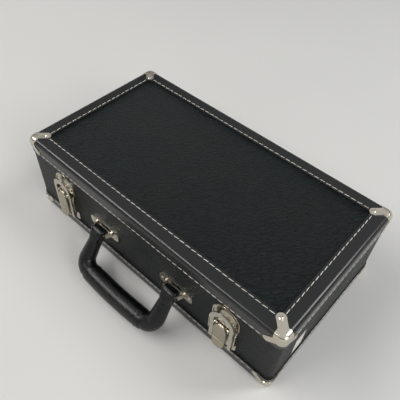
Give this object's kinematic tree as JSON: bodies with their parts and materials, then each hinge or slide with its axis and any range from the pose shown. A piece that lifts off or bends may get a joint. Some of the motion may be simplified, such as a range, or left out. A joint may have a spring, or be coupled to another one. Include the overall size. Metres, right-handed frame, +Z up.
{
  "type": "miniature carry case",
  "caption": "Low rectangular carry case with hinged lid, nickel corners, draw latches, folding handle and slotted foam for figures.",
  "frame": {"origin": "Middle of the outline that the closed case and its lowered handle cover, seen from above, on the surface that the case stands on.", "axes": "+X along the case's length to its right end as seen from the latches, -Y out of the latch side, +Z up."},
  "size_m": [0.3332, 0.2254, 0.0996],
  "materials": {
    "wood": "thin plywood boards",
    "covering": "black pebble-grained vinyl cloth",
    "binding": "smooth black vinyl strip, stitched in off-white thread",
    "foam": "dark open-cell foam",
    "paper": "blank white paper label",
    "handle_cover": "black vinyl, semi-gloss",
    "steel": "plain steel rod",
    "pin_steel": "nickel-plated wire",
    "fastener": "nickel-plated domed heads",
    "nickel": "nickel-plated pressed steel"
  },
  "bodies": {
    "case_base": {"base_bottom_board": "wood", "base_front_board": "wood", "base_back_board": "wood", "base_left_board": "wood", "base_right_board": "wood", "base_covering": "covering", "base_binding": "binding", "base_corner_front_left": "nickel", "base_corner_front_right": "nickel", "base_corner_back_left": "nickel", "base_corner_back_right": "nickel", "base_corner_tacks": "fastener", "foam_floor_pad": "foam", "foam_tray_rim": "foam", "foam_dividers": "foam", "blank_label": "paper", "left_latch_base": "nickel", "right_latch_base": "nickel", "latch_base_rivets": "fastener", "left_lever_pin": "pin_steel", "right_lever_pin": "pin_steel", "left_handle_bracket": "nickel", "right_handle_bracket": "nickel", "handle_bracket_rivets": "fastener", "left_hinge_base_leaf": "nickel", "right_hinge_base_leaf": "nickel", "hinge_base_rivets": "fastener", "left_hinge_pin": "pin_steel", "right_hinge_pin": "pin_steel"},
    "case_lid": {"lid_top_board": "wood", "lid_front_board": "wood", "lid_back_board": "wood", "lid_left_board": "wood", "lid_right_board": "wood", "lid_covering": "covering", "lid_binding": "binding", "lid_corner_front_left": "nickel", "lid_corner_front_right": "nickel", "lid_corner_back_left": "nickel", "lid_corner_back_right": "nickel", "lid_corner_tacks": "fastener", "lid_foam": "foam", "left_catch_plate": "nickel", "right_catch_plate": "nickel", "catch_rivets": "fastener", "left_hinge_lid_leaf": "nickel", "right_hinge_lid_leaf": "nickel", "hinge_lid_rivets": "fastener"},
    "left_lever_set": {"left_lever": "nickel", "left_hasp_pin": "pin_steel"},
    "right_lever_set": {"right_lever": "nickel", "right_hasp_pin": "pin_steel"},
    "left_hasp_set": {"left_hasp": "nickel"},
    "right_hasp_set": {"right_hasp": "nickel"},
    "handle": {"handle_cover": "handle_cover", "handle_core": "steel"}
  },
  "joints": [
    {"name": "lid_hinge", "type": "hinge", "parent": "case_base", "child": "case_lid", "pos_m": [0, 0.11013, 0.058], "axis": [-1, 0, 0], "range_deg": [0, 105]},
    {"name": "left_latch_lever", "type": "hinge", "parent": "case_base", "child": "left_lever_set", "pos_m": [-0.11, -0.07277, 0.0548], "axis": [-1, 0, 0], "range_deg": [0, 130]},
    {"name": "left_hasp_swing", "type": "hinge", "parent": "left_lever_set", "child": "left_hasp_set", "pos_m": [-0.11, -0.07177, 0.0378], "axis": [-1, 0, 0], "range_deg": [-145, 0]},
    {"name": "right_latch_lever", "type": "hinge", "parent": "case_base", "child": "right_lever_set", "pos_m": [0.11, -0.07277, 0.0548], "axis": [-1, 0, 0], "range_deg": [0, 130]},
    {"name": "right_hasp_swing", "type": "hinge", "parent": "right_lever_set", "child": "right_hasp_set", "pos_m": [0.11, -0.07177, 0.0378], "axis": [-1, 0, 0], "range_deg": [-145, 0]},
    {"name": "handle_swing", "type": "hinge", "parent": "case_base", "child": "handle", "pos_m": [0, -0.07617, 0.0445], "axis": [-1, 0, 0], "range_deg": [0, 122]}
  ],
  "couplings": [
    {"joint": "left_hasp_swing", "follows": "left_latch_lever", "ratio": -1.1},
    {"joint": "right_hasp_swing", "follows": "right_latch_lever", "ratio": -1.1}
  ]
}
